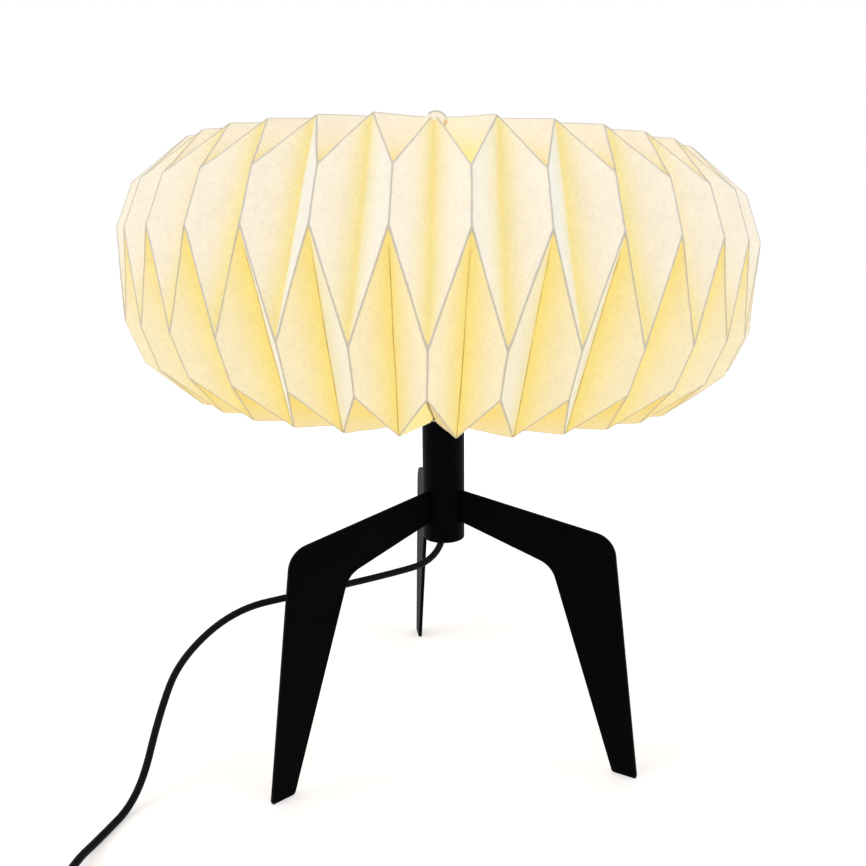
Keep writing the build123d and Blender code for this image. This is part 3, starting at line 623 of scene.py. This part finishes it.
def bump(tree, shader, height, strength, distance):
    """Feed a height to the shader's normal."""
    node = tree.nodes.new("ShaderNodeBump")
    node.inputs["Strength"].default_value = strength
    node.inputs["Distance"].default_value = distance
    tree.links.new(height, node.inputs["Height"])
    tree.links.new(node.outputs["Normal"], shader.inputs["Normal"])


def socketed_group(name, inputs, outputs):
    """Empty shader node group with named sockets."""
    group = bpy.data.node_groups.new(name, "ShaderNodeTree")
    for label, kind, value in inputs:
        socket = group.interface.new_socket(name=label, in_out="INPUT", socket_type=kind)
        if value is not None:
            socket.default_value = value
    for label, kind in outputs:
        group.interface.new_socket(name=label, in_out="OUTPUT", socket_type=kind)
    start = group.nodes.new("NodeGroupInput")
    end = group.nodes.new("NodeGroupOutput")
    return group, start, end


def grain_group():
    """Fine speckle and slow mottle, shared by coated, moulded and rolled surfaces."""
    if "surface grain" in bpy.data.node_groups:
        return bpy.data.node_groups["surface grain"]
    group, start, end = socketed_group(
        "surface grain",
        [
            ("Vector", "NodeSocketVector", None),
            ("Speckle scale", "NodeSocketFloat", 1200.0),
            ("Mottle scale", "NodeSocketFloat", 30.0),
        ],
        [("Speckle", "NodeSocketFloat"), ("Mottle", "NodeSocketFloat")],
    )
    for label, source, detail in (("Speckle", "Speckle scale", 2.0), ("Mottle", "Mottle scale", 4.0)):
        node = group.nodes.new("ShaderNodeTexNoise")
        node.inputs["Detail"].default_value = detail
        group.links.new(start.outputs["Vector"], node.inputs["Vector"])
        group.links.new(start.outputs[source], node.inputs["Scale"])
        group.links.new(node.outputs["Fac"], end.inputs[label])
    return group


def grain(tree, speckle, mottle):
    """Place the grain group with its own scales."""
    node = tree.nodes.new("ShaderNodeGroup")
    node.node_tree = grain_group()
    tree.links.new(texture_coordinates(tree), node.inputs["Vector"])
    node.inputs["Speckle scale"].default_value = speckle
    node.inputs["Mottle scale"].default_value = mottle
    return node.outputs["Speckle"], node.outputs["Mottle"]


def shade_of(colour, factor):
    """A colour made lighter or darker."""
    return tuple(min(1.0, channel * factor) for channel in colour)


# ---------------------------------------------------------------- materials
def paper_material(settings):
    """Fibrous white paper with a painted glow standing in for the bulb's light through it, and painted shade where it
    is doubled along a ridge.
    """
    material, tree, shader = start_material("lit_folded_paper")
    where = texture_coordinates(tree)

    def fold_map(name):
        node = tree.nodes.new("ShaderNodeUVMap")
        node.uv_map = name
        split = tree.nodes.new("ShaderNodeSeparateXYZ")
        tree.links.new(node.outputs["UV"], split.inputs["Vector"])
        return split.outputs["X"], split.outputs["Y"]

    to_ridge, to_valley = fold_map("fold_sides")
    to_upper, to_lower = fold_map("fold_ends")
    lower_band, fringe = fold_map("fold_tones")
    seam_top_light, seam_foot_light_shade = fold_map("seam_marks")
    # 1 in a fold map is 100 mm
    # painted light: the glow turns yellow, amber in the lower band, towards each valley nearer the bulb
    share = math_node(tree, "DIVIDE", to_ridge, math_node(tree, "ADD", to_ridge, to_valley))
    power = math_node(tree, "MULTIPLY_ADD", lower_band, -1.4, 3.0)
    depth = math_node(tree, "POWER", share, power)
    # short fibres and cloudy thickness
    clouds = noise_at(tree, where, 110.0, 4.0, 0.6)
    fibres = noise_at(tree, where, 620.0, 4.0, 0.75)
    fleck = math_node(tree, "ADD", math_node(tree, "MULTIPLY", clouds, 0.25), math_node(tree, "MULTIPLY", fibres, 0.75))
    level = ramp_between(tree, fleck, 0.34, 0.66, smooth=False)
    density = math_node(tree, "MULTIPLY_ADD", level, 0.19, 0.90)
    open_tone = mix_colours(tree, lower_band, settings.cream, settings.warm_cream)
    deep_tone = mix_colours(tree, lower_band, settings.yellow, settings.amber)
    # more painted valley light in the lower fringe and beside the seam's top
    low_fringe = math_node(tree, "MULTIPLY", fringe, lower_band)
    extra = math_node(tree, "MULTIPLY_ADD", low_fringe, 0.5, math_node(tree, "MULTIPLY", seam_top_light, 0.5))
    depth = math_node(tree, "ADD", depth, extra, clamp=True)
    glow = mix_colours(tree, depth, open_tone, deep_tone)
    # painted paler glow on facets seen edge on
    facing = tree.nodes.new("ShaderNodeLayerWeight")
    facing.inputs["Blend"].default_value = 0.5
    turned = ramp_between(tree, facing.outputs["Facing"], 0.35, 0.85)
    whiten = math_node(tree, "MULTIPLY", turned, math_node(tree, "MULTIPLY_ADD", fringe, -0.45, 0.6))
    glow = mix_colours(tree, whiten, glow, settings.pale)
    # painted warmer, slightly dimmer glow on the fringe facets
    glow = mix_colours(tree, fringe, glow, (0.99, 0.94, 0.84), "MULTIPLY")
    glow = mix_colours(tree, 1.0, glow, grey(tree, density), "MULTIPLY")
    # painted light beside the seam's top and left of its foot, painted shade right of its foot
    lit = math_node(tree, "MAXIMUM", seam_top_light, math_node(tree, "MULTIPLY", seam_foot_light_shade, -1.0))
    glow = mix_colours(tree, math_node(tree, "MULTIPLY", lit, 0.7), glow, (0.75, 0.65, 0.20))
    shaded = math_node(tree, "MULTIPLY", math_node(tree, "MAXIMUM", seam_foot_light_shade, 0.0), 0.7)
    glow = mix_colours(tree, shaded, glow, (0.46, 0.31, 0.11))
    # painted shade along every ridge, where the doubled paper lets less light through, slightly uneven in width
    nearest = math_node(tree, "MINIMUM", to_ridge, math_node(tree, "MINIMUM", to_upper, to_lower))
    wander = math_node(tree, "SUBTRACT", noise_at(tree, where, 260.0, 2.0), 0.5)
    edge = math_node(tree, "MULTIPLY_ADD", wander, 0.004, nearest)
    half = settings.ridge_width * 5.0
    ridge = math_node(tree, "SUBTRACT", 1.0, ramp_between(tree, edge, half * 0.35, half * 1.7))
    ridge_shade_tone = mix_colours(tree, lower_band, settings.ridge, (0.27, 0.225, 0.15))
    glow = mix_colours(tree, math_node(tree, "MULTIPLY", ridge, 0.85), glow, ridge_shade_tone)
    # the shadow line at the bottom of the lower valleys
    crease = math_node(tree, "SUBTRACT", 1.0, ramp_between(tree, to_valley, 0.0010, 0.0042))
    below = ramp_between(tree, to_upper, 0.01, 0.06)
    below = math_node(tree, "MULTIPLY", below, ramp_between(tree, noise_at(tree, where, 60.0, 2.0), 0.0, 0.75))
    valley_shadow = math_node(tree, "MULTIPLY", crease, math_node(tree, "MULTIPLY", lower_band, below))
    valley_shadow = math_node(tree, "MULTIPLY", valley_shadow, 0.8)
    glow = mix_colours(tree, valley_shadow, glow, (0.30, 0.18, 0.03))
    # painted dark shadow along the valley crease either side of the seam's foot
    seam_foot_shadow = math_node(tree, "SUBTRACT", 1.0, ramp_between(tree, to_valley, 0.0, 0.014))
    seam_foot_shadow = math_node(tree, "MULTIPLY", seam_foot_shadow, math_node(tree, "ABSOLUTE", seam_foot_light_shade))
    glow = mix_colours(tree, math_node(tree, "MULTIPLY", seam_foot_shadow, 0.9), glow, (0.12, 0.05, 0.005))
    # the glow is painted light: emission standing in for the bulb's light through the paper
    tree.links.new(glow, shader.inputs["Emission Color"])
    shader.inputs["Emission Strength"].default_value = 1.0
    base = mix_colours(tree, level, shade_of(settings.fibre_colour, 0.94), settings.fibre_colour)
    # the painted valley shadow line darkens the base colour too
    base = mix_colours(tree, valley_shadow, base, (0.10, 0.06, 0.03))
    tree.links.new(base, shader.inputs["Base Color"])
    shader.inputs["Roughness"].default_value = 0.82
    shader.inputs["Specular IOR Level"].default_value = 0.2
    bump(tree, shader, fleck, 0.25, 0.0004)
    return material


def grey(tree, value):
    """A value as a grey colour."""
    node = tree.nodes.new("ShaderNodeCombineColor")
    for socket in node.inputs:
        tree.links.new(value, socket)
    return node.outputs["Color"]


def tab_material(settings):
    """Doubled paper of the seam with a painted glow, painted shade along its upper cut edge and a painted shadow at its
    lower right.
    """
    material, tree, shader = start_material("seam_paper")
    where = texture_coordinates(tree)
    away = tree.nodes.new("ShaderNodeVectorMath")
    away.operation = "SUBTRACT"
    away.inputs[1].default_value = TAB_CENTRE
    tree.links.new(where, away.inputs[0])
    squeeze = tree.nodes.new("ShaderNodeVectorMath")
    squeeze.operation = "MULTIPLY"
    squeeze.inputs[1].default_value = (2 / TAB_SIZE[0], 0.0, 2.16 / TAB_SIZE[1])
    level = tree.nodes.new("ShaderNodeVectorRotate")
    level.rotation_type = "Y_AXIS"
    level.inputs["Angle"].default_value = -TAB_TURN
    tree.links.new(away.outputs["Vector"], level.inputs["Vector"])
    tree.links.new(level.outputs["Vector"], squeeze.inputs[0])
    reach = tree.nodes.new("ShaderNodeVectorMath")
    reach.operation = "LENGTH"
    tree.links.new(squeeze.outputs["Vector"], reach.inputs[0])
    height = tree.nodes.new("ShaderNodeSeparateXYZ")
    tree.links.new(level.outputs["Vector"], height.inputs["Vector"])
    upper_half = ramp_between(tree, height.outputs["Z"], 0.0006, 0.0022)
    # painted shade along the tab's upper edge
    rim_shade = math_node(tree, "MULTIPLY", ramp_between(tree, reach.outputs["Value"], 0.72, 0.92), upper_half)
    fibres = noise_at(tree, where, 520.0, 3.0, 0.7)
    glow = mix_colours(tree, fibres, shade_of(settings.cream, 0.90), shade_of(settings.cream, 1.04))
    shadow = math_node(tree, "SUBTRACT", 1.0, ramp_between(tree, height.outputs["Z"], 0.0, 0.0016))
    shadow = math_node(tree, "MULTIPLY", shadow, ramp_between(tree, height.outputs["X"], 0.0022, 0.0042))
    glow = mix_colours(tree, shadow, glow, (0.50, 0.25, 0.03))
    glow = mix_colours(tree, rim_shade, glow, settings.ridge)
    tree.links.new(glow, shader.inputs["Emission Color"])
    shader.inputs["Emission Strength"].default_value = 1.0
    tree.links.new(
        mix_colours(tree, fibres, shade_of(settings.fibre_colour, 0.94), settings.fibre_colour),
        shader.inputs["Base Color"],
    )
    shader.inputs["Roughness"].default_value = 0.82
    return material


def lead_material():
    """Matt black sheath with a faint moulded grain."""
    material, tree, shader = start_material("black_sheath")
    speckle, mottle = grain(tree, 900.0, 60.0)
    colour = mix_colours(tree, mottle, (0.0025, 0.0025, 0.0030), (0.0055, 0.0055, 0.0065))
    tree.links.new(colour, shader.inputs["Base Color"])
    rough = math_node(tree, "MULTIPLY_ADD", speckle, 0.2, 0.45)
    tree.links.new(rough, shader.inputs["Roughness"])
    shader.inputs["Specular IOR Level"].default_value = 0.10
    bump(tree, shader, speckle, 0.15, 0.0002)
    return material


def coated_steel():
    """Matt black powder coat."""
    material, tree, shader = start_material("black_powder_coat")
    speckle, mottle = grain(tree, 1500.0, 18.0)
    colour = mix_colours(tree, mottle, (0.0005, 0.0005, 0.0012), (0.0016, 0.0016, 0.0024))
    tree.links.new(colour, shader.inputs["Base Color"])
    rough = math_node(tree, "MULTIPLY_ADD", speckle, 0.18, 0.42)
    tree.links.new(rough, shader.inputs["Roughness"])
    shader.inputs["Specular IOR Level"].default_value = 0.022
    bump(tree, shader, speckle, 0.22, 0.00025)
    return material


def moulded(name, dark, light, roughness, specular=0.3, coat=0.0):
    """Moulded or enamelled surface with slow mottle and fine texture."""
    material, tree, shader = start_material(name)
    speckle, mottle = grain(tree, 1100.0, 45.0)
    colour = mix_colours(tree, mottle, dark, light)
    tree.links.new(colour, shader.inputs["Base Color"])
    rough = math_node(tree, "MULTIPLY_ADD", speckle, 0.14, roughness - 0.07)
    tree.links.new(rough, shader.inputs["Roughness"])
    shader.inputs["Specular IOR Level"].default_value = specular
    shader.inputs["Coat Weight"].default_value = coat
    bump(tree, shader, speckle, 0.1, 0.00015)
    return material


def bright_metal(name, dark, light, roughness):
    """Rolled or plated metal with faint drawing lines."""
    material, tree, shader = start_material(name)
    where = texture_coordinates(tree)
    lines = noise_at(tree, where, 300.0, 3.0, 0.6, stretch=(1.0, 1.0, 12.0))
    speckle, mottle = grain(tree, 800.0, 60.0)
    tree.links.new(mix_colours(tree, mottle, dark, light), shader.inputs["Base Color"])
    shader.inputs["Metallic"].default_value = 1.0
    rough = math_node(tree, "MULTIPLY_ADD", lines, 0.18, roughness - 0.09)
    tree.links.new(rough, shader.inputs["Roughness"])
    bump(tree, shader, lines, 0.12, 0.0001)
    return material


def opal_glass():
    """Opal bulb, lit."""
    material, tree, shader = start_material("lit_opal_globe")
    speckle, mottle = grain(tree, 500.0, 25.0)
    tree.links.new(mix_colours(tree, mottle, (0.46, 0.44, 0.38), (0.50, 0.48, 0.42)), shader.inputs["Base Color"])
    tree.links.new(mix_colours(tree, mottle, (1.0, 0.82, 0.52), (1.0, 0.86, 0.58)), shader.inputs["Emission Color"])
    shader.inputs["Emission Strength"].default_value = 0.6
    shader.inputs["Roughness"].default_value = 0.25
    return material


def cotton(name):
    """Twisted cotton thread."""
    material, tree, shader = start_material(name)
    where = texture_coordinates(tree)
    wave = tree.nodes.new("ShaderNodeTexWave")
    wave.inputs["Scale"].default_value = 700.0
    wave.inputs["Distortion"].default_value = 3.0
    tree.links.new(where, wave.inputs["Vector"])
    tree.links.new(
        mix_colours(tree, wave.outputs["Fac"], (0.62, 0.58, 0.48), (0.84, 0.81, 0.72)), shader.inputs["Base Color"]
    )
    shader.inputs["Roughness"].default_value = 0.9
    bump(tree, shader, wave.outputs["Fac"], 0.4, 0.0002)
    return material


def finishes():
    """Material of each slot of the record."""
    dark_plastic = moulded("satin_black_plastic", (0.006, 0.006, 0.0065), (0.013, 0.013, 0.014), 0.5, 0.25)
    return {
        "black_steel": coated_steel(),
        "black_plastic": dark_plastic,
        "black_cord": lead_material(),
        "zinc_steel": bright_metal("zinc_plated_steel", (0.50, 0.52, 0.55), (0.66, 0.67, 0.68), 0.38),
        "holder_plastic": moulded("dark_phenolic", (0.010, 0.009, 0.009), (0.020, 0.018, 0.017), 0.42, 0.4),
        "holder_ceramic": moulded("unglazed_ceramic", (0.76, 0.74, 0.70), (0.86, 0.85, 0.81), 0.7, 0.3),
        "brass": bright_metal("bright_brass", (0.62, 0.42, 0.16), (0.80, 0.60, 0.28), 0.3),
        "shade_paper": bpy.data.materials["lit_folded_paper"],
        "string": cotton("twisted_cotton"),
        "white_wire": moulded("white_enamel", (0.80, 0.79, 0.75), (0.88, 0.87, 0.84), 0.32, 0.5, 0.2),
        "bulb_metal": bright_metal("rolled_aluminium", (0.62, 0.62, 0.64), (0.80, 0.80, 0.81), 0.34),
        "bulb_black": moulded("black_glass_bead", (0.008, 0.008, 0.01), (0.018, 0.018, 0.02), 0.2, 0.5, 0.4),
        "bulb_white": moulded("white_housing", (0.82, 0.82, 0.80), (0.90, 0.90, 0.88), 0.45, 0.4),
        "bulb_opal": opal_glass(),
        "board_aluminium": moulded("white_solder_mask", (0.78, 0.78, 0.76), (0.86, 0.86, 0.84), 0.5, 0.4),
        "chip_yellow": moulded("chip_phosphor", (0.86, 0.66, 0.12), (0.95, 0.80, 0.24), 0.4, 0.4),
        "rocker_plastic": moulded("rocker_gloss", (0.010, 0.010, 0.011), (0.018, 0.018, 0.019), 0.28, 0.4),
        "pin_metal": bright_metal("nickel_pins", (0.62, 0.60, 0.56), (0.78, 0.76, 0.72), 0.22),
    }


class LAMP_OT_finishes(bpy.types.Operator):
    """Give every solid of the lamp its finish."""

    bl_idname = "lamp.finishes"
    bl_label = "Finishes"

    def execute(self, context):
        made = finishes()
        for part in frame["record"]["subparts"]:
            obj = NODES[part["node"]]
            material = made[part["material_slot"]]
            if not obj.data.materials:
                raise RuntimeError("no material slot on " + part["node"])
            for index in range(len(obj.data.materials)):
                obj.data.materials[index] = material
        return {"FINISHED"}


# ---------------------------------------------------------------- stage
def area_light(name, place, target, size, watts, colour):
    """Large soft lamp that looks at a point."""
    data = bpy.data.lights.new(name, "AREA")
    data.shape = "DISK"
    data.size = size
    data.energy = watts
    data.color = colour
    lamp = bpy.data.objects.new(name, data)
    bpy.context.collection.objects.link(lamp)
    lamp.location = place
    lamp.rotation_mode = "QUATERNION"
    lamp.rotation_quaternion = (Vector(target) - Vector(place)).to_track_quat("-Z", "Y")
    return lamp


def floor_material(settings):
    """Pale floor that the camera sees as white, with the object's soft shadow."""
    material, tree, shader = start_material("white_sweep")
    where = texture_coordinates(tree)
    patch = noise_at(tree, where, 3.0, 2.0)
    tree.links.new(
        mix_colours(tree, patch, settings.floor_colour, shade_of(settings.floor_colour, 1.01)),
        shader.inputs["Base Color"],
    )
    shader.inputs["Roughness"].default_value = 0.9
    shader.inputs["Specular IOR Level"].default_value = 0.0
    path = tree.nodes.new("ShaderNodeLightPath")
    seen = math_node(tree, "MAXIMUM", path.outputs["Is Camera Ray"], path.outputs["Is Glossy Ray"])
    seen = math_node(tree, "MAXIMUM", seen, path.outputs["Is Transmission Ray"])
    reach = tree.nodes.new("ShaderNodeVectorMath")
    reach.operation = "LENGTH"
    tree.links.new(where, reach.inputs[0])
    far = ramp_between(tree, reach.outputs["Value"], 0.25, 1.3)
    lift = math_node(tree, "MULTIPLY", seen, math_node(tree, "MULTIPLY_ADD", far, 0.70, 0.40))
    shader.inputs["Emission Color"].default_value = (0.99, 0.99, 1.08, 1)
    tree.links.new(lift, shader.inputs["Emission Strength"])
    return material


class LAMP_OT_stage(bpy.types.Operator):
    """Floor, white surroundings and soft studio light."""

    bl_idname = "lamp.stage"
    bl_label = "Stage"

    def execute(self, context):
        settings = context.scene.lamp_stage
        clear_selection()
        bpy.ops.mesh.primitive_plane_add(size=30.0, location=(0, 0, 0))
        floor = context.object
        floor.name = "floor"
        floor.data.materials.append(floor_material(settings))
        floor.location.z = -0.0002
        world = bpy.data.worlds.new("white_room")
        context.scene.world = world
        world.use_nodes = True
        tree = world.node_tree
        background = next(n for n in tree.nodes if n.type == "BACKGROUND")
        path = tree.nodes.new("ShaderNodeLightPath")
        seen = math_node(tree, "MAXIMUM", path.outputs["Is Camera Ray"], path.outputs["Is Transmission Ray"])
        level = math_node(tree, "MULTIPLY_ADD", seen, 1.0 - settings.world_level, settings.world_level)
        background.inputs["Color"].default_value = (1, 1, 1, 1)
        tree.links.new(level, background.inputs["Strength"])
        area_light("key_light", (-1.9, -0.7, 1.5), (0, 0, 0.25), 1.6, settings.key_watts, (1.0, 0.97, 0.90))
        area_light("fill_light", (1.6, -0.6, 1.2), (0, 0, 0.28), 1.4, settings.fill_watts, (0.80, 0.91, 1.0))
        context.scene.view_settings.view_transform = "Standard"
        return {"FINISHED"}


# ---------------------------------------------------------------- panel
class LAMP_PT_panel(bpy.types.Panel):
    """The lamp's pieces, in the order in which they are made."""

    bl_idname = "LAMP_PT_panel"
    bl_label = "Paper lantern lamp"
    bl_space_type = "VIEW_3D"
    bl_region_type = "UI"
    bl_category = "Lamp"

    def draw(self, context):
        layout = self.layout
        for group in (context.scene.lamp_stage, context.scene.lamp_lead, context.scene.lamp_paper):
            box = layout.box()
            for name in group.__annotations__:
                box.prop(group, name)
        for operator in OPERATORS:
            layout.operator(operator.bl_idname)


OPERATORS = (
    LAMP_OT_camera,
    LAMP_OT_leads,
    LAMP_OT_paper,
    LAMP_OT_seam_tab,
    LAMP_OT_finishes,
    LAMP_OT_stage,
)
CLASSES = SETTINGS + OPERATORS + (LAMP_PT_panel,)


def register():
    for cls in CLASSES:
        bpy.utils.register_class(cls)
    bpy.types.Scene.lamp_paper = PointerProperty(type=LAMP_PG_paper)
    bpy.types.Scene.lamp_lead = PointerProperty(type=LAMP_PG_lead)
    bpy.types.Scene.lamp_stage = PointerProperty(type=LAMP_PG_stage)


def unregister():
    del bpy.types.Scene.lamp_stage
    del bpy.types.Scene.lamp_lead
    del bpy.types.Scene.lamp_paper
    for cls in reversed(CLASSES):
        bpy.utils.unregister_class(cls)


def main():
    """Make every piece in order."""
    register()
    bpy.ops.lamp.camera()
    bpy.ops.lamp.leads()
    bpy.ops.lamp.paper()
    bpy.ops.lamp.seam_tab()
    bpy.ops.lamp.finishes()
    bpy.ops.lamp.stage()


if __name__ == "__main__":
    main()
